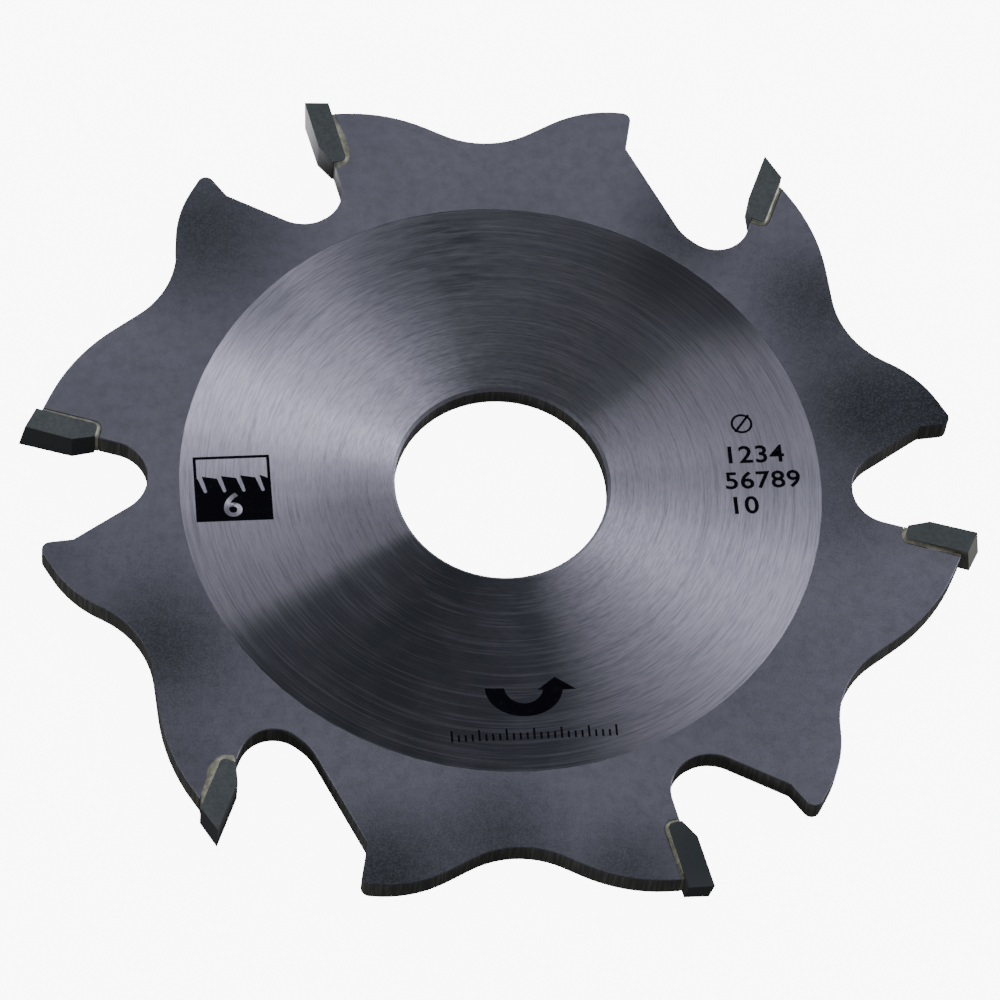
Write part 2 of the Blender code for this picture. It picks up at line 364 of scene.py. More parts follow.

# %% [markdown]
# ### Plate
# The outer plate is finely ground and then blued a little by the grinding oil: a matte blue-grey
# with wide clouds, a fine grain and some darker patches. An even colour would look like plastic, so
# three noises of very different size are laid over each other, and each darker patch is soft and
# round, at its own place: across, up and reach in millimetres, and its share.

# %% Plate faces
PLATE_TONE = shade_of(132, 133, 147)
PLATE_SHADOW = shade_of(112, 115, 128)
PLATE_DARK_TONE = shade_of(50, 55, 57)
# The plate is darker at these places: round patches, each (across, up, reach, share).
PLATE_DARK_PATCHES = (
    (47, 14, 15, 1.0), (37, 13, 15, 0.85), (31, 26, 11, 0.7), (17, 33, 10, 0.65),
    (36, 1, 8, 0.35), (-34, 27, 17, 0.75), (-46, -16, 9, 0.4), (-33, -23, 13, 0.75),
    (-30, -36, 8, 0.35), (-8, -46, 12, 0.85), (16, -43, 9, 0.6), (3, -41, 10, 0.6),
)

plate_finish = BladeFinish("ground_plate", metallic=1.0, roughness=0.46)
clouds = plate_finish.noise(plate_finish.place, scale=55.0, detail=3.0)
mottle = plate_finish.noise(plate_finish.place, scale=700.0, detail=5.0, roughness=0.7)
grain = plate_finish.noise(plate_finish.place, scale=5200.0)
plate_colour = plate_finish.blend(plate_finish.span(clouds, 0.35, 0.7, to_high=0.5), PLATE_TONE, PLATE_SHADOW)
plate_colour = plate_finish.with_patches(plate_colour, PLATE_DARK_PATCHES, PLATE_DARK_TONE)
mottle_share = plate_finish.span(mottle, 0.35, 0.7, to_high=0.22)
plate_colour = plate_finish.blend(mottle_share, plate_colour, PLATE_DARK_TONE)
grain_share = plate_finish.span(grain, 0.35, 0.75, to_high=0.35)
plate_colour = plate_finish.blend(grain_share, plate_colour, PLATE_SHADOW)
print("plate stains:", len(PLATE_DARK_PATCHES))

# %% [markdown]
# The cut walls are another matter, burnt nearly black by the laser, with fine streaks straight
# through the thickness. Beside one tip a pale patch on the wall is painted light. The walls could
# be a second material, but the faces would have to be sorted for it. One material can carry both,
# because a point of the plate is on a wall when its surface faces sideways, and the small broken
# edges come out in between. The burnt skin isn't bare metal, so the walls are not metallic and have
# no gloss.

# %% Cut walls
WALL_TONE = shade_of(70, 70, 69)
WALL_STREAK = shade_of(92, 91, 89)
WALL_PAINTED_LIGHT = shade_of(214, 214, 216)
WALL_PAINTED_LIGHT_SPOT = (-20, 38, 6)
STREAK_STRETCH = 0.06
WALL_ROUGHER = 0.15


def dress(node, finish):
    """Give a CAD node a finish in the place of its plain material."""
    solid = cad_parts[node]
    solid.data.materials.clear()
    solid.data.materials.append(finish.material)
    return solid


x, y, z = plate_finish.parts(plate_finish.place)
streak_spot = plate_finish.vector(x, y, plate_finish.math("MULTIPLY", z, STREAK_STRETCH))
streaks = plate_finish.noise(streak_spot, scale=3200.0)
wall_colour = plate_finish.blend(plate_finish.span(streaks, 0.4, 0.75), WALL_TONE, WALL_STREAK)
# Painted light: a pale patch on the wall beside one tip.
wall_colour = plate_finish.blend(plate_finish.patch(*WALL_PAINTED_LIGHT_SPOT), wall_colour, WALL_PAINTED_LIGHT)
on_wall = plate_finish.span(plate_finish.levelness(), 0.95, 0.35)
plate_finish.colour(plate_finish.blend(on_wall, plate_colour, wall_colour))
face_roughness = plate_finish.span(grain, 0.3, 0.7, to_low=0.42, to_high=0.52)
rougher = plate_finish.math("MULTIPLY", on_wall, WALL_ROUGHER)
plate_finish.roughness(plate_finish.math("ADD", face_roughness, rougher))
plate_finish.relief(plate_finish.blend(on_wall, grain, streaks), depth=0.006 * MM, strength=0.5)
plate_finish.metallic(plate_finish.math("SUBTRACT", 1.0, on_wall))
plate_finish.shader.inputs["Specular IOR Level"].default_value = 0.0
body = dress("blade_body", plate_finish)
print("plate faces:", len(body.data.polygons))

# %% [markdown]
# ### Ground hub
# The zone round the bore was faced on a spinning table, which leaves thousands of fine rings. They
# spread every light across themselves, so the hub shows bright and dark sectors like a bow tie
# through the bore. Lights alone could make it, but then one sector can't be mended without moving
# the others. Here its main part is painted into the colour as painted highlight and painted shade:
# a blend that follows the cosine of twice the angle round the axis, with both tones also painted
# darker to one side, and a few more painted light and dark sectors, each with its angle, its reach
# in degrees and its share.

# %% Hub sectors
HUB_BRIGHT = shade_of(201, 200, 219)
HUB_BRIGHT_AWAY = shade_of(152, 151, 166)
HUB_DARK = shade_of(120, 123, 132)
HUB_DARK_AWAY = shade_of(72, 76, 84)
BOW_ANGLE = math.radians(172)
LIT_SIDE_ANGLE = math.radians(118)
BOW_WANDER = 0.07
# The extra sectors are painted highlight and painted shade, each (angle, reach, share).
PAINTED_LIGHT_SECTORS = ((318, 32, 0.4), (280, 40, 0.05), (30, 19, 0.52), (209, 14, 0.6), (121, 13, 0.15))
PAINTED_SHADE_SECTORS = ((2, 13, 0.25), (150, 14, 0.25), (226, 11, 0.45), (183, 9, 0.15))

hub_finish = BladeFinish("faced_hub", metallic=1.0, roughness=0.5)
cosine, sine = hub_finish.polar()[1:]
# The double angle: cos 2t is cos t cos t - sin t sin t, and sin 2t is 2 cos t sin t.
double_cosine = hub_finish.math("SUBTRACT", hub_finish.math("MULTIPLY", cosine, cosine),
                                hub_finish.math("MULTIPLY", sine, sine))
double_sine = hub_finish.math("MULTIPLY", hub_finish.math("MULTIPLY", cosine, sine), 2.0)
# The bow tie is painted highlight and painted shade in the colour.
bow = hub_finish.nearness(double_cosine, double_sine, 2 * BOW_ANGLE)
bands = hub_finish.ring_noise(along=3.0, across=1.6, detail=4.0)
bow = hub_finish.math("ADD", bow, hub_finish.span(bands, 0.25, 0.75, -BOW_WANDER, BOW_WANDER))
# Painted shade: both tones are darker on the side away from one direction.
lit_side_share = hub_finish.span(hub_finish.nearness(cosine, sine, LIT_SIDE_ANGLE), -1.0, 1.0)
dark_tone = hub_finish.blend(lit_side_share, HUB_DARK_AWAY, HUB_DARK)
bright_tone = hub_finish.blend(lit_side_share, HUB_BRIGHT_AWAY, HUB_BRIGHT)
hub_colour = hub_finish.blend(hub_finish.span(bow, -0.9, 0.9), dark_tone, bright_tone)
hub_colour = hub_finish.swept(hub_colour, PAINTED_LIGHT_SECTORS, HUB_BRIGHT)
hub_colour = hub_finish.swept(hub_colour, PAINTED_SHADE_SECTORS, HUB_DARK_AWAY)
print("hub sectors: 4 of the bow tie and", len(PAINTED_LIGHT_SECTORS) + len(PAINTED_SHADE_SECTORS), "more")

# %% [markdown]
# Close up, the rings are seen as short dashes and long thin lines, and the face has faint clouds,
# some darker patches, and a smear of dark dashes above the bore. A picture of scratches would blur
# when seen close. Noises stretched along the rings stay sharp, and each is blended in with a small
# share.

# %% Hub marks
HUB_SMEAR = shade_of(62, 65, 74)
SMEAR_SPOT = (-8, 28, 12)
# Darker round patches on the hub face, each (across, up, reach, share).
HUB_DARK_PATCHES = ((-15, 25, 14, 0.4), (16, 28, 10, 0.6), (-14, -4, 9, 0.3), (28, 8, 12, 0.2),
              (-27, 18, 9, 0.45), (23, 24, 8, 0.55))

hub_clouds = hub_finish.noise(hub_finish.place, scale=210.0, detail=4.0)
dashes = hub_finish.ring_noise(along=16.0, across=6.0, detail=3.0)
long_rings = hub_finish.ring_noise(along=2.5, across=5.0, detail=2.0)
smear_dashes = hub_finish.ring_noise(along=7.0, across=1.8, detail=5.0)
smear = hub_finish.math("MULTIPLY", hub_finish.patch(*SMEAR_SPOT),
                        hub_finish.span(smear_dashes, 0.42, 0.68, to_high=0.5))
hub_marks = (
    (hub_finish.span(hub_clouds, 0.4, 0.7, to_high=0.13), HUB_BRIGHT_AWAY),
    (hub_finish.span(dashes, 0.3, 0.75, to_high=0.35), HUB_DARK_AWAY),
    (hub_finish.span(long_rings, 0.5, 0.75, to_high=0.3), HUB_DARK_AWAY),
    (hub_finish.span(long_rings, 0.5, 0.3, to_high=0.12), HUB_BRIGHT),
    (smear, HUB_SMEAR),
)
for share, tone in hub_marks:
    hub_colour = hub_finish.blend(share, hub_colour, tone)
hub_colour = hub_finish.with_patches(hub_colour, HUB_DARK_PATCHES, HUB_SMEAR)
hub_finish.colour(hub_colour)
hub_finish.roughness(hub_finish.span(dashes, 0.3, 0.7, to_low=0.45, to_high=0.53))
hub_finish.relief(dashes, depth=0.004 * MM, strength=0.35)
print("hub marks:", len(hub_marks), "and stains:", len(HUB_DARK_PATCHES))

# %% [markdown]
# The part of the highlight that moves with the view comes from the shader: its Anisotropic value
# spreads a light across the rings, along a tangent that runs round the axis.

# %% Hub sheen
RING_SPREAD = 0.72
QUARTER_TURN = 0.25

hub_finish.shader.inputs["Anisotropic"].default_value = RING_SPREAD
hub_finish.shader.inputs["Anisotropic Rotation"].default_value = QUARTER_TURN
round_axis = hub_finish.nodes.new("ShaderNodeTangent")
round_axis.direction_type = "RADIAL"
round_axis.axis = "Z"
hub_finish.links.new(round_axis.outputs[0], hub_finish.shader.inputs["Tangent"])
print("hub finish nodes:", len(hub_finish.nodes))

# %% [markdown]
# ### Carbide
# Carbide is ground with a fine wheel to a dark, slightly green grey, and the wheel leaves lines in
# it. The sides of the tips are darker and without gloss, but near three of the teeth they are
# painted paler, as painted light. As on the plate, one material tells side from face by where the
# surface points, and a soft patch round each of those teeth lightens only its sides. One more patch
# darkens the faces of another tip as painted shade.

# %% Carbide
CARBIDE_TONE = shade_of(112, 118, 121)
CARBIDE_CLOUD = shade_of(96, 102, 105)
CARBIDE_LINE = shade_of(80, 86, 88)
# Painted shade on the faces of one tip: a tone and one round patch, (across, up, reach, share).
CARBIDE_PAINTED_SHADE = shade_of(70, 74, 80)
CARBIDE_SHADE_PATCHES = ((23, -40, 12, 0.8),)
CARBIDE_SIDE = shade_of(66, 67, 68)
CARBIDE_SIDE_LINE = shade_of(48, 49, 51)
# Painted light on the sides of three tips: each (across, up, reach, tone).
PAINTED_LIT_SIDES = ((-24.8, 43.1, 9, shade_of(228, 228, 230)), (23, 40, 7, shade_of(130, 132, 134)),
              (49, -1.4, 5, shade_of(112, 113, 108)))
LINE_STRETCH = 9.0

carbide_finish = BladeFinish("ground_carbide", metallic=1.0, roughness=0.42)
x, y, z = carbide_finish.parts(carbide_finish.place)
line_spot = carbide_finish.vector(x, y, carbide_finish.math("MULTIPLY", z, LINE_STRETCH))
wheel_lines = carbide_finish.noise(line_spot, scale=2600.0)
face_tone = carbide_finish.blend(carbide_finish.noise(carbide_finish.place, scale=420.0),
                                 CARBIDE_TONE, CARBIDE_CLOUD)
# Painted shade on the faces of one tip.
face_tone = carbide_finish.with_patches(face_tone, CARBIDE_SHADE_PATCHES, CARBIDE_PAINTED_SHADE)
line_share = carbide_finish.span(wheel_lines, 0.35, 0.7, to_high=0.4)
face_tone = carbide_finish.blend(line_share, face_tone, CARBIDE_LINE)
side_tone = CARBIDE_SIDE
for across, up, reach, tone in PAINTED_LIT_SIDES:
    side_tone = carbide_finish.blend(carbide_finish.patch(across, up, reach), side_tone, tone)
side_share = carbide_finish.span(wheel_lines, 0.4, 0.8, to_high=0.4)
side_tone = carbide_finish.blend(side_share, side_tone, CARBIDE_SIDE_LINE)
on_face = carbide_finish.span(carbide_finish.levelness(), 0.3, 0.8)
carbide_finish.colour(carbide_finish.blend(on_face, side_tone, face_tone))
carbide_finish.metallic(on_face)
carbide_finish.shader.inputs["Specular IOR Level"].default_value = 0.0
carbide_finish.relief(wheel_lines, depth=0.004 * MM, strength=0.4)
print("carbide finish nodes:", len(carbide_finish.nodes))

# %% [markdown]
# ### Braze, ink and table
# Braze is a dull khaki that never came under the wheel, so it is lumpy, and a bump is enough for
# lumps of this size. The ink is a flat near-black, thinned a little here and there. The table is
# plain white with the faintest speckle.

# %% Braze, ink and table
BRAZE_TONE, BRAZE_HOLLOW = shade_of(152, 152, 140), shade_of(120, 120, 107)
INK_TONE, INK_THIN = shade_of(22, 22, 28), shade_of(48, 50, 58)
TABLE_TONE, TABLE_SPECK = (0.4, 0.4, 0.4, 1.0), (0.42, 0.42, 0.42, 1.0)
TABLE_LIGHT = 9.0
TABLE_BOUNCE = 0.1

braze_finish = Finish("dull_braze", metallic=0.8, roughness=0.6)
lumps = braze_finish.noise(braze_finish.place, scale=1500.0, detail=3.0)
braze_finish.colour(braze_finish.blend(braze_finish.span(lumps, 0.3, 0.7), BRAZE_TONE, BRAZE_HOLLOW))
braze_finish.relief(lumps, depth=0.03 * MM, strength=0.6)

ink_finish = Finish("flat_ink", metallic=1.0, roughness=0.6)
thin_spots = ink_finish.noise(ink_finish.place, scale=2400.0, detail=3.0)
thin_share = ink_finish.span(thin_spots, 0.55, 0.8, to_high=0.35)
ink_finish.colour(ink_finish.blend(thin_share, INK_TONE, INK_THIN))

table_finish = Finish("white_table", metallic=0.0, roughness=0.8)
speckle = table_finish.noise(table_finish.place, scale=300.0)
table_finish.colour(table_finish.blend(speckle, TABLE_TONE, TABLE_SPECK))
table_finish.shader.inputs["Emission Color"].default_value = (1.0, 1.0, 1.0, 1.0)
seen = table_finish.nodes.new("ShaderNodeLightPath").outputs["Is Camera Ray"]
table_glow = table_finish.span(seen, 0.0, 1.0, TABLE_BOUNCE, TABLE_LIGHT)
table_finish.set(table_finish.shader.inputs["Emission Strength"], table_glow)
table.data.materials.append(table_finish.material)
print("finishes:", [item.material.name for item in (braze_finish, ink_finish, table_finish)])

# %% [markdown]
# ## Surfaces on a grid
# The pieces that follow are worked out with numpy: all points of a surface at once, as a grid of
# rows and columns. Two helpers make a mesh of them. One writes down the quads between neighbouring
# points, and the other puts points and faces into a new object.

# %% Grid helpers
SHARP_ANGLE = math.radians(35.0)


def add_mesh(name, points, faces, material, smooth=True):
    """A linked mesh object from an array of points and a list of faces."""
    mesh = bpy.data.meshes.new(name)
    mesh.from_pydata(points.tolist(), [], faces)
    mesh.update()
    item = bpy.data.objects.new(name, mesh)
    bpy.context.collection.objects.link(item)
    mesh.materials.append(material)
    if smooth:
        mesh.shade_smooth()
        mesh.set_sharp_from_angle(angle=SHARP_ANGLE)
    return item


def grid_faces(rows, columns, close_rows=False, close_columns=False):
    """Quads of a grid of rows x columns points, wrapped round where a direction is closed.

    Point (i, j) has the number i * columns + j, and its quad goes on to (i + 1, j),
    (i + 1, j + 1) and (i, j + 1).
    """
    i = np.arange(rows if close_rows else rows - 1)[:, None]
    j = np.arange(columns if close_columns else columns - 1)[None, :]
    after_i, after_j = (i + 1) % rows, (j + 1) % columns
    quads = np.stack(np.broadcast_arrays(i * columns + j, after_i * columns + j,
                                         after_i * columns + after_j, i * columns + after_j), axis=-1)
    return quads.reshape(-1, 4).tolist()


print("quads of a closed 3 x 4 grid:", len(grid_faces(3, 4, close_rows=True, close_columns=True)))

# %% [markdown]
# ## Hub rings
# A flat washer would do, but real facing marks are tiny steps in height. The top of each ring here
# is a surface over radius and angle whose height follows a fixed random profile, less than a
# thousandth of a millimetre deep, so the rings catch the light as real ones do.

# %% Hub rings
HUB_INNER = 11.31 * MM
HUB_OUTER = 33.18 * MM
HUB_FLOOR = 1.353 * MM
HUB_TOP = 1.384 * MM
RING_STEPS = 130
TURN_STEPS = 288
MARK_DEPTH = 0.0006 * MM


def hub_ring(name, side):
    """A closed ring: a profile of radius and height, turned about the axis.

    A point is (r cos t, r sin t, side * h), where h is the profile's height at r. Along the top it
    is HUB_TOP less a fixed random depth, and along the floor HUB_FLOOR.
    """
    chance = np.random.default_rng(7)
    across = np.linspace(HUB_INNER, HUB_OUTER, RING_STEPS)
    top = HUB_TOP - MARK_DEPTH * chance.random(RING_STEPS)
    radii = np.concatenate([across, [HUB_OUTER, HUB_INNER]])
    heights = np.concatenate([top, [HUB_FLOOR, HUB_FLOOR]]) * side
    angles = np.linspace(0.0, 2 * math.pi, TURN_STEPS, endpoint=False)
    points = np.stack([np.outer(radii, np.cos(angles)), np.outer(radii, np.sin(angles)),
                       np.outer(heights, np.ones(TURN_STEPS))], axis=-1).reshape(-1, 3)
    faces = grid_faces(len(radii), TURN_STEPS, close_rows=True, close_columns=True)
    if side < 0:
        faces = [face[::-1] for face in faces]
    ring = add_mesh(name, points, faces, hub_finish.material)
    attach(ring, "root")
    return ring


hub_rings = [hub_ring("hub_rings_top", 1), hub_ring("hub_rings_under", -1)]
print("hub ring faces:", [len(ring.data.polygons) for ring in hub_rings])

# %% [markdown]
# ## Braze beads
# When a tip is brazed into its seat, the filler creeps out and freezes as a small uneven fillet
# between the plate and the side of the tip, which stands a little proud of it. A straight tube
# would look like wire. The bead here is a surface along the seat's edge and across the fillet: it
# is highest against the tip, runs out on the plate, and its width wanders.
#
# First comes the path of the seat's edge. The teeth have two forms: a scorer leans back and ends in
# a point, and a raker leans forward and is a little shorter. Scorer, raker and scorer follow each
# other, twice round.

# %% Seats
CUT_RADIUS = 50.0 * MM
TIP_THICKNESS = 2.5 * MM
TIP_LENGTH = 7.8 * MM
TIP_CORNER = 0.5 * MM
SEAT_SETBACK = 1.1 * MM
SHOULDER_DEPTH = 2.3 * MM
SCORER = {"hook": math.radians(-8.6), "drop": 0.0, "lag": 0.4 * MM}
RAKER = {"hook": math.radians(15.4), "drop": 0.3 * MM, "lag": 0.0}
TEETH = (SCORER, RAKER, SCORER) * 2


def turned(points, angle):
    """Plan points turned about the arbor axis: (x cos a - y sin a, x sin a + y cos a)."""
    turn = np.array([[math.cos(angle), -math.sin(angle)], [math.sin(angle), math.cos(angle)]])
    return points @ turn.T


def tooth_plan(number, inward, behind):
    """Plan points of a tooth, given inward along its rake face and behind that face.

    A point is the cutting corner, plus inward times (-cos h, -sin h), plus behind times
    (sin h, -cos h), for a hook angle h, all turned to the tooth's place round the axis.
    """
    form = TEETH[number]
    hook = form["hook"]
    along = np.array([-math.cos(hook), -math.sin(hook)])
    back = np.array([math.sin(hook), -math.cos(hook)])
    corner = np.array([CUT_RADIUS - form["drop"], 0.0])
    points = corner + np.outer(inward, along) + np.outer(behind, back)
    return turned(points, number * math.pi / 3 - form["lag"] / CUT_RADIUS)


def seat_path(steps):
    """The edge of a tip along its seat as (inward, behind) and the outward direction at each point.

    It runs down the back of the tip, round the inner corner by a quarter turn, and along the foot.
    """
    straight = TIP_LENGTH - TIP_CORNER - SHOULDER_DEPTH
    quarter = TIP_CORNER * math.pi / 2
    foot = TIP_THICKNESS - TIP_CORNER - SEAT_SETBACK
    far = np.linspace(0.0, straight + quarter + foot, steps)
    turn = np.clip((far - straight) / TIP_CORNER, 0.0, math.pi / 2)
    inward = SHOULDER_DEPTH + np.minimum(far, straight) + TIP_CORNER * np.sin(turn)
    behind = TIP_THICKNESS - TIP_CORNER * (1 - np.cos(turn)) - np.maximum(far - straight - quarter, 0.0)
    return inward, behind, np.sin(turn), np.cos(turn)


print("first seat starts at (mm):", np.round(tooth_plan(0, [SHOULDER_DEPTH], [TIP_THICKNESS]) / MM, 2))

# %% [markdown]
# Now the fillets themselves. No two real ones are alike, so each tooth has its own width, and a
# fixed random curve makes width and height wander along the path.

# %% Fillet
PLATE_FACE = 1.4 * MM
BEAD_WIDTHS = tuple(width * MM for width in (0.36, 0.17, 0.55, 0.3, 0.65, 0.26))
BEAD_HEIGHT = 0.2 * MM
BEAD_LEAST = {"width": 0.02 * MM, "height": 0.01 * MM}
BEAD_ROOT = 0.02 * MM
PATH_STEPS, ACROSS_STEPS = 90, 7
OUTER_RUN_OUT, FOOT_RUN_OUT = 16.0, 5.0
RUN_OUT_POWER, FILLET_POWER = 0.6, 1.7


def smooth_wander(chance, count, knots):
    """A smooth random curve between 0 and 1: random knots joined by a cosine."""
    values = chance.random(knots + 1)
    spot = np.linspace(0, knots - 1e-6, count)
    share = 0.5 - 0.5 * np.cos(math.pi * (spot % 1))
    low = spot.astype(int)
    return values[low] * (1 - share) + values[low + 1] * share


def fillet(number, side, chance):
    """One fillet as a grid of points, PATH_STEPS along the seat and ACROSS_STEPS + 2 round it.

    At a share v across, a point lies v * width out from the tip, at a height of
    PLATE_FACE + height * (1 - v) ** FILLET_POWER. Width and height run out at both ends. The last
    two points of each round lie BEAD_ROOT deep in the plate and close it from below.
    """
    inward, behind, out_inward, out_behind = seat_path(PATH_STEPS)
    step = np.arange(PATH_STEPS)
    ends = np.clip(np.minimum(step / OUTER_RUN_OUT, step[::-1] / FOOT_RUN_OUT), 0.0, 1.0) ** RUN_OUT_POWER
    width_wander = 0.65 + 0.7 * smooth_wander(chance, PATH_STEPS, 5)
    height_wander = 0.5 + 0.5 * smooth_wander(chance, PATH_STEPS, 4)
    width = BEAD_WIDTHS[number] * width_wander * ends + BEAD_LEAST["width"]
    height = BEAD_HEIGHT * height_wander * ends + BEAD_LEAST["height"]
    share = np.linspace(0.0, 1.0, ACROSS_STEPS)
    away = np.outer(width, share)
    lift = PLATE_FACE + np.outer(height, (1 - share) ** FILLET_POWER)
    plan = tooth_plan(number, (inward[:, None] + away * out_inward[:, None]).ravel(),
                      (behind[:, None] + away * out_behind[:, None]).ravel())
    skin = np.column_stack([plan, side * lift.ravel()]).reshape(PATH_STEPS, ACROSS_STEPS, 3)
    floor = skin[:, [-1, 0], :].copy()
    floor[:, :, 2] = side * (PLATE_FACE - BEAD_ROOT)
    return np.concatenate([skin, floor], axis=1)


print("widest beads in mm:", [round(width / MM, 2) for width in BEAD_WIDTHS])

# %% [markdown]
# Every tooth gets two fillets, above and below the plate, because the filler creeps out on both
# sides. The one below has its faces turned round, so that they point outwards as well. The same
# cell dresses the tips and the thin layers of braze that the frame already holds.

# %% Braze beads


def braze_beads(number):
    """Two closed fillets, above and below the plate: quads round each, and a cap at either end."""
    chance = np.random.default_rng(40 + number)
    loops = np.stack([fillet(number, side, chance) for side in (1, -1)])
    around = ACROSS_STEPS + 2
    count = PATH_STEPS * around
    quads = grid_faces(PATH_STEPS, around, close_columns=True)
    caps = [list(range(around)), list(range(count - around, count))[::-1]]
    upper = quads + caps
    lower = [[count + corner for corner in face][::-1] for face in upper]
    beads = add_mesh(f"braze_bead_{number + 1}", loops.reshape(-1, 3), upper + lower, braze_finish.material)
    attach(beads, "root")
    return beads


beads = [braze_beads(number) for number in range(len(TEETH))]
for number in range(len(TEETH)):
    dress(f"carbide_tip_{number + 1}", carbide_finish)
    dress(f"braze_layer_{number + 1}", braze_finish)
print("bead faces:", len(beads[0].data.polygons), "each, teeth:", len(TEETH))

# %% [markdown]
# ## Printed marks
# The hub carries a few printed marks: a sign for the number of teeth, plain numbers, an arrow for
# the turning direction and a small scale. Ink could be painted in the material, but then its edges
# would be as coarse as the picture of it. Thin plates of ink, about a hundredth of a millimetre
# thick, keep sharp edges at any distance. All of them are drawn flat first, in millimetres, and
# then turned to their place.

# %% Ink plates
INK_FLOOR = 1.385 * MM
INK_TOP = 1.393 * MM
PRINT_ANGLE = math.radians(9.4)


def print_place(points):
    """Drawing points in millimetres, turned to the angle of the print and in metres."""
    return turned(np.asarray(points, dtype=float) * MM, PRINT_ANGLE)


def signed_area(plan):
    """Twice the area inside an outline, by the sum of x * next y - y * next x. Clockwise, it is negative."""
    x, y = plan.T
    return np.sum(x * np.roll(y, -1) - y * np.roll(x, -1))


def ink_mesh(name, shapes, material):
    """Plates of ink from closed outlines, each a prism between INK_FLOOR and INK_TOP."""
    points, faces = [], []
    for shape in shapes:
        plan = print_place(shape)
        if signed_area(plan) < 0:
            plan = plan[::-1]
        count = len(plan)
        first = sum(len(part) for part in points)
        points += [np.column_stack([plan, np.full(count, height)]) for height in (INK_FLOOR, INK_TOP)]
        ring = np.arange(count)
        after = (ring + 1) % count
        sides = np.column_stack([ring, after, count + after, count + ring]) + first
        faces += [(first + ring[::-1]).tolist(), (first + count + ring).tolist()] + sides.tolist()
    plate = add_mesh(name, np.concatenate(points), faces, material, smooth=False)
    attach(plate, "root")
    return plate


def arc(centre, across, up, start, stop, steps):
    """Points of an elliptical arc from start to stop in degrees: (cx + a cos t, cy + b sin t)."""
    t = np.radians(np.linspace(start, stop, steps))
    return np.column_stack([centre[0] + across * np.cos(t), centre[1] + up * np.sin(t)])


print("ink from", INK_FLOOR / MM, "to", INK_TOP / MM, "mm")

# %% [markdown]
# The sign for the number of teeth is a thin box whose lower half is a strip of saw teeth. The strip
# is one outline: up one side, along four slanted teeth with round-bottomed gullets, and back.

# %% Sign for the number of teeth
BOX_LEFT, BOX_RIGHT, BOX_LOW, BOX_HIGH = -31.62, -23.75, -3.32, 4.29
BOX_LINE = 0.3
STRIP_LEFT, STRIP_RIGHT = 1.78, 1.45
STRIP_TEETH = 4
TOOTH_POINT, TOOTH_BACK = (0.83, 1.97), (0.4, 1.68)
GULLET_CENTRE, GULLET_RADIUS = (1.1, 0.22), 0.18
FOOT_LEFT, FOOT_RIGHT = (1.79, 1.72), (1.46, 1.6)


def saw_strip():
    """Outline of a dark strip with four slanted saw teeth along its top."""
    pitch = (BOX_RIGHT - BOX_LEFT) / STRIP_TEETH
    outline = [(BOX_RIGHT, BOX_LOW), (BOX_RIGHT, STRIP_RIGHT)]
    for tooth in reversed(range(STRIP_TEETH)):
        left = BOX_LEFT + tooth * pitch
        centre = (left + GULLET_CENTRE[0], GULLET_CENTRE[1])
        outline.append((left + TOOTH_POINT[0], TOOTH_POINT[1]))
        outline += arc(centre, GULLET_RADIUS, GULLET_RADIUS, 10, -170, 7).tolist()
        outline.append((left + TOOTH_BACK[0], TOOTH_BACK[1]))
    outline += [(BOX_LEFT, STRIP_LEFT), (BOX_LEFT, BOX_LOW)]
    return np.array(outline)


def box_line():
    """Outline of the thin line round the box: up its left side, along its top and down its right.

    Its feet, each given by an outer and an inner height, follow the slant of the strip's top and
    end a hundredth of a millimetre over it.
    """
    left, right, high = BOX_LEFT + BOX_LINE, BOX_RIGHT - BOX_LINE, BOX_HIGH - BOX_LINE
    return np.array([(BOX_LEFT, FOOT_LEFT[0]), (BOX_LEFT, BOX_HIGH), (BOX_RIGHT, BOX_HIGH),
                     (BOX_RIGHT, FOOT_RIGHT[0]), (right, FOOT_RIGHT[1]), (right, high), (left, high),
                     (left, FOOT_LEFT[1])])


tooth_sign = ink_mesh("print_tooth_sign", [saw_strip(), box_line()], ink_finish.material)
print("tooth sign faces:", len(tooth_sign.data.polygons))

# %% [markdown]
# Digits need no drawing: Blender's own font fills their outlines. A text object is made a flat mesh
# first, because its place has to be in its points, and a flat mesh is then raised to a closed plate.

# %% Digits
DIGIT_WEIGHT = 0.014
DIGIT_SPACING = 1.06
DIGIT_SMOOTHNESS = 6
MERGE_DISTANCE = 0.001 * MM


def flat_text(text):
    """Flat points and faces of a text in Blender's own font, in font units."""
    curve = bpy.data.curves.new("digits", "FONT")
    curve.body = text
    curve.offset = DIGIT_WEIGHT
    curve.resolution_u = DIGIT_SMOOTHNESS
    curve.space_character = DIGIT_SPACING
    writer = bpy.data.objects.new("digits", curve)
    bpy.context.collection.objects.link(writer)
    evaluated = writer.evaluated_get(bpy.context.evaluated_depsgraph_get())
    flat = bpy.data.meshes.new_from_object(evaluated)
    spots = np.empty(len(flat.vertices) * 3)
    flat.vertices.foreach_get("co", spots)
    faces = [list(face.vertices) for face in flat.polygons]
    bpy.data.objects.remove(writer, do_unlink=True)
    bpy.data.curves.remove(curve)
    bpy.data.meshes.remove(flat)
    return spots.reshape(-1, 3)[:, :2], faces


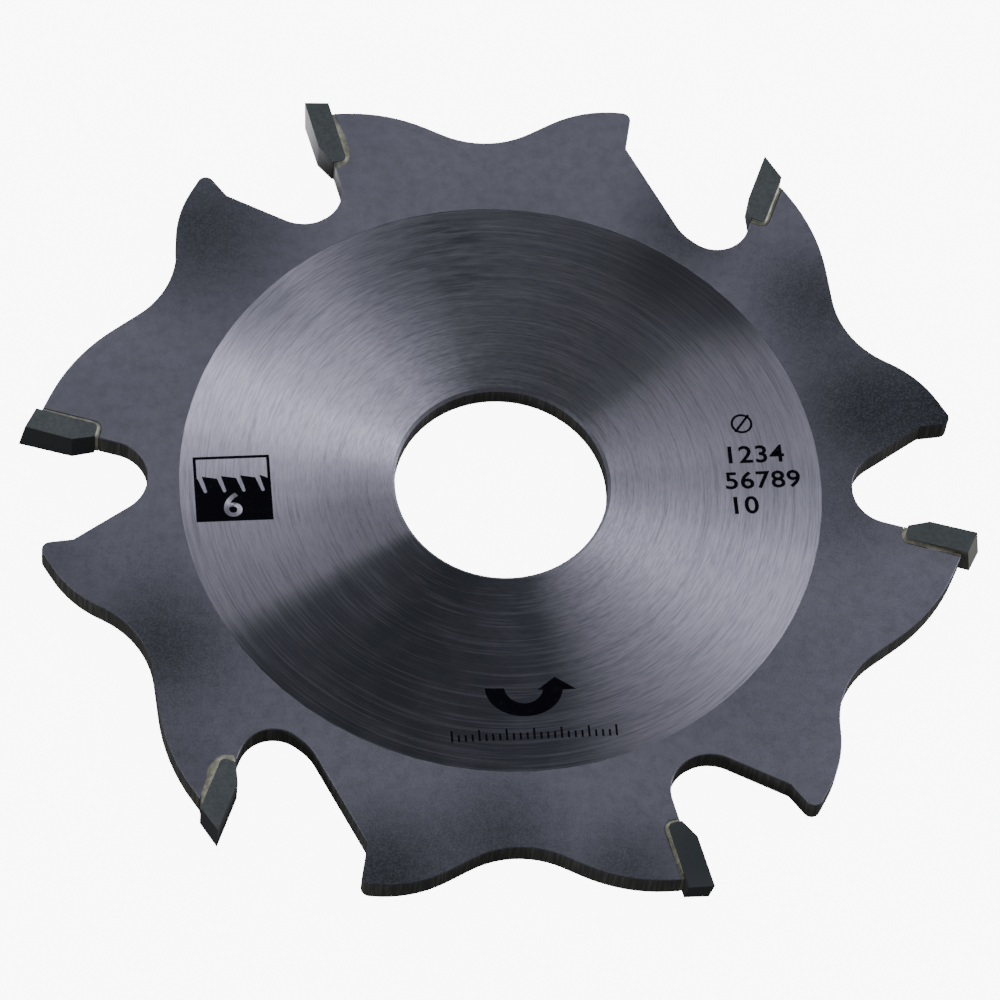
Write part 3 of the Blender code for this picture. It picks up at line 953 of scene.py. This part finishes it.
def raise_plate(mesh, height):
    """Make a flat mesh a closed plate.

    Its doubles are merged, a copy of its faces is pushed up by a height with walls between the two,
    and all faces are turned outwards.
    """
    shape = bmesh.new()
    shape.from_mesh(mesh)
    bmesh.ops.remove_doubles(shape, verts=shape.verts, dist=MERGE_DISTANCE)
    flat = shape.faces[:] + shape.edges[:] + shape.verts[:]
    raised = bmesh.ops.extrude_face_region(shape, geom=flat, use_keep_orig=True)
    lifted = [item for item in raised["geom"] if isinstance(item, bmesh.types.BMVert)]
    bmesh.ops.translate(shape, verts=lifted, vec=(0.0, 0.0, height))
    bmesh.ops.recalc_face_normals(shape, faces=shape.faces)
    shape.to_mesh(mesh)
    shape.free()


print("corners of a flat 8:", len(flat_text("8")[0]))

# %% [markdown]
# Three lines hold a plain count from 1 to 10. The number of teeth, in bare metal, lies on the dark
# strip of the sign.

# %% Numbers
DIGIT_STRETCH = 1.1
NUMBER_LINES = (("1234", 23.8, 1.19), ("56789", 23.2, -1.86), ("10", 23.8, -4.79))
NUMBER_HEIGHT = 2.05
TOOTH_COUNT_LINE = (("6", -28.74, -2.84),)
TOOTH_COUNT_HEIGHT = 2.8
TOOTH_COUNT_TOP = INK_TOP + 0.004 * MM


def printed_number(name, lines, height, top, material):
    """Plain numbers as ink. Each line is (text, left, baseline) in drawing millimetres.

    A line's points are moved to start at 0, scaled so that it is as high as height, stretched
    across by DIGIT_STRETCH, and set at its left and baseline.
    """
    points, faces = [], []
    for text, left, baseline in lines:
        spots, text_faces = flat_text(text)
        size = height / np.ptp(spots[:, 1])
        first = sum(len(part) for part in points)
        points.append((spots - spots.min(axis=0)) * (size * DIGIT_STRETCH, size) + (left, baseline))
        faces += [[first + corner for corner in face] for face in text_faces]
    plan = print_place(np.concatenate(points))
    floor = np.column_stack([plan, np.full(len(plan), INK_FLOOR)])
    plate = add_mesh(name, floor, faces, material, smooth=False)
    raise_plate(plate.data, top - INK_FLOOR)
    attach(plate, "root")
    return plate


numbers = printed_number("print_numbers", NUMBER_LINES, NUMBER_HEIGHT, INK_TOP, ink_finish.material)
tooth_count = printed_number("print_tooth_count", TOOTH_COUNT_LINE, TOOTH_COUNT_HEIGHT, TOOTH_COUNT_TOP,
                             hub_finish.material)
print("number faces:", len(numbers.data.polygons), len(tooth_count.data.polygons))

# %% [markdown]
# A circle with a stroke through it stands above the numbers. An outline with a hole can't be one
# flat face, so the circle is a ring: the four corners of its section, carried round its centre.

# %% Circle with a stroke
CIRCLE_CENTRE = (25.6, 5.9)
CIRCLE_OUTER, CIRCLE_INNER = 1.14, 0.9
CIRCLE_STEPS = 48
STROKE_ENDS = ((24.84, 4.94), (26.4, 6.9))
STROKE_WIDTH = 0.24


def stroke(points, width):
    """Outline of a line of even width: its points shifted by half the width to either side."""
    points = np.asarray(points, dtype=float)
    along = np.gradient(points, axis=0)
    along /= np.hypot(*along.T)[:, None]
    side = np.column_stack([-along[:, 1], along[:, 0]]) * width / 2
    return np.concatenate([points + side, (points - side)[::-1]])


def ink_ring(name, centre, outer, inner, material):
    """A ring of ink: the four corners of its section, each carried once round the centre."""
    rounds = [print_place(arc(centre, radius, radius, 0, 360, CIRCLE_STEPS + 1)[:-1])
              for radius in (inner, outer, outer, inner)]
    heights = (INK_FLOOR, INK_FLOOR, INK_TOP, INK_TOP)
    points = np.concatenate([np.column_stack([plan, np.full(CIRCLE_STEPS, height)])
                             for plan, height in zip(rounds, heights)])
    faces = [face[::-1] for face in grid_faces(4, CIRCLE_STEPS, close_rows=True, close_columns=True)]
    ring = add_mesh(name, points, faces, material, smooth=False)
    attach(ring, "root")
    return ring


circle = ink_ring("print_circle", CIRCLE_CENTRE, CIRCLE_OUTER, CIRCLE_INNER, ink_finish.material)
circle_stroke = ink_mesh("print_circle_stroke", [stroke(STROKE_ENDS, STROKE_WIDTH)], ink_finish.material)
print("circle faces:", len(circle.data.polygons), len(circle_stroke.data.polygons))

# %% [markdown]
# The arrow for the turning direction is a broad arc that ends in a triangle. Its outline follows
# the outer edge of the arc, goes round the head, and comes back along the inner edge.

# %% Turning arrow
ARROW_OUTER = {"centre": (0.2, -23.75), "across": 3.95, "up": 3.25, "start": 179, "stop": 353}
ARROW_INNER = {"centre": (0.2, -23.6), "across": 2.0, "up": 1.95, "start": 345, "stop": 185}
ARROW_HEAD = ((5.5, -24.15), (3.44, -22.69), (1.56, -24.07))
ARROW_STEPS = 33

arrow_outline = np.concatenate([arc(**ARROW_OUTER, steps=ARROW_STEPS), ARROW_HEAD,
                                arc(**ARROW_INNER, steps=ARROW_STEPS)])
arrow = ink_mesh("print_turning_arrow", [arrow_outline], ink_finish.material)
print("arrow faces:", len(arrow.data.polygons))

# %% [markdown]
# Under the arrow runs a short scale of even ticks, with every fourth one longer. Each tick is a
# stroke of its own.

# %% Scale
SCALE_LEFT, SCALE_LENGTH, SCALE_BASE = -7.5, 16.65, -29.58
TICK_COUNT, TICK_WIDTH = 25, 0.2
LONG_EVERY, LONG_TICK, SHORT_TICK = 4, 1.25, 0.75

tick_numbers = np.arange(TICK_COUNT)
tick_spots = SCALE_LEFT + tick_numbers * SCALE_LENGTH / (TICK_COUNT - 1)
tick_lengths = np.where(tick_numbers % LONG_EVERY == 0, LONG_TICK, SHORT_TICK)
ticks = [stroke([(spot, SCALE_BASE), (spot, SCALE_BASE + length)], TICK_WIDTH)
         for spot, length in zip(tick_spots, tick_lengths)]
scale = ink_mesh("print_scale", ticks, ink_finish.material)
print("scale faces:", len(scale.data.polygons))

# %% [markdown]
# ## The end
